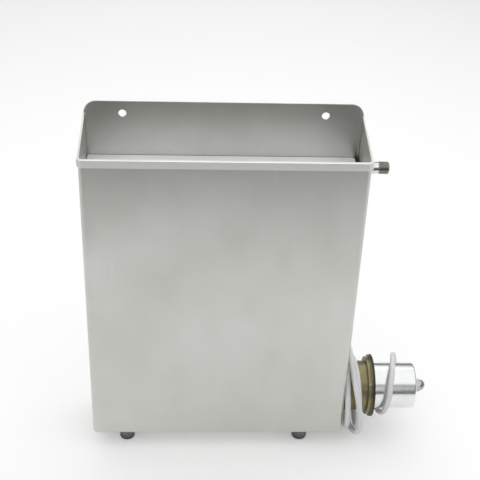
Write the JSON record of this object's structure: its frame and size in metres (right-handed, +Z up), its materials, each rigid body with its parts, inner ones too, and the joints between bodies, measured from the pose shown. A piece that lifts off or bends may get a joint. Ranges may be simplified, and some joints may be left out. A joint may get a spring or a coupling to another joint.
{
  "type": "knife sterilizer",
  "caption": "Narrow open-topped steel tank with a slotted lift-out knife rack, a capped electric heater at its side, a threaded overflow and a tall back with hanging holes.",
  "frame": {"origin": "on the floor plane under the four feet, below the middle of the tank's width and depth", "axes": "+X to the right, along the heater and away from the tank; +Y back to the wall; +Z up"},
  "size_m": [0.4741, 0.1679, 0.495],
  "materials": {
    "brushed_stainless": "satin brushed stainless sheet",
    "white_board": "white polypropylene",
    "passivated_steel": "olive-yellow passivated steel",
    "bright_metal": "polished nickel plate",
    "head_brass": "turned brass",
    "element_sheath": "dull annealed alloy tube",
    "cap_aluminium": "turned bare aluminium",
    "black_rubber": "matt black rubber",
    "foot_rubber": "matt dark grey rubber",
    "lead_silicone": "pale grey silicone",
    "plug_moulding": "grey moulded plug",
    "thermostat_case": "black moulding",
    "knob_moulding": "pale moulding",
    "ceramic": "white glazed ceramic"
  },
  "bodies": {
    "tank": {"tank_shell": "brushed_stainless", "back_plate": "brushed_stainless", "element_rest": "brushed_stainless", "overflow_pipe": "brushed_stainless", "heater_socket": "passivated_steel", "heater_flange": "passivated_steel", "socket_set_screw": "bright_metal", "cap_stud": "bright_metal", "terminal_screws": "bright_metal", "earth_screw": "bright_metal", "foot_studs": "bright_metal", "heater_head": "head_brass", "element_ferrules": "head_brass", "plug_pins": "head_brass", "plug_earth_clips": "head_brass", "heating_element": "element_sheath", "thermostat_pocket": "element_sheath", "cap_gasket": "black_rubber", "head_seal": "black_rubber", "foot_front_left": "foot_rubber", "foot_front_right": "foot_rubber", "foot_rear_left": "foot_rubber", "foot_rear_right": "foot_rubber", "cord_lead": "lead_silicone", "cord_coil": "lead_silicone", "cord_tail": "lead_silicone", "cord_boot": "lead_silicone", "plug_body": "plug_moulding", "thermostat": "thermostat_case", "terminal_block": "ceramic"},
    "rack": {"rack_slat_front": "white_board", "rack_slat_middle": "white_board", "rack_slat_back": "white_board", "rack_spacers_front": "white_board", "rack_spacers_back": "white_board", "rack_end_left": "brushed_stainless", "rack_end_right": "brushed_stainless", "rack_guide": "brushed_stainless", "rack_rivets": "bright_metal"},
    "cap": {"terminal_cap": "cap_aluminium"},
    "washer": {"cap_washer": "bright_metal"},
    "nut": {"dome_nut": "bright_metal"},
    "knob": {"thermostat_knob": "knob_moulding"}
  },
  "joints": [
    {"name": "rack_lift", "type": "slide", "parent": "tank", "child": "rack", "axis": [0, 0, 1], "range_m": [0, 0.44]},
    {"name": "cap_draw", "type": "slide", "parent": "tank", "child": "cap", "axis": [1, 0, 0], "range_m": [0, 0.065]},
    {"name": "washer_travel", "type": "slide", "parent": "cap", "child": "washer", "axis": [1, 0, 0], "range_m": [0, 0.009]},
    {"name": "nut_turn", "type": "hinge", "parent": "washer", "child": "nut", "pos_m": [0.288, 0, 0.0736], "axis": [1, 0, 0], "range_deg": [0, 2160]},
    {"name": "knob_turn", "type": "hinge", "parent": "tank", "child": "knob", "pos_m": [0.248, 0, 0.0886], "axis": [1, 0, 0], "range_deg": [0, 270]}
  ],
  "couplings": [
    {"joint": "washer_travel", "follows": "nut_turn", "m_per_rad": 0.00023873}
  ]
}
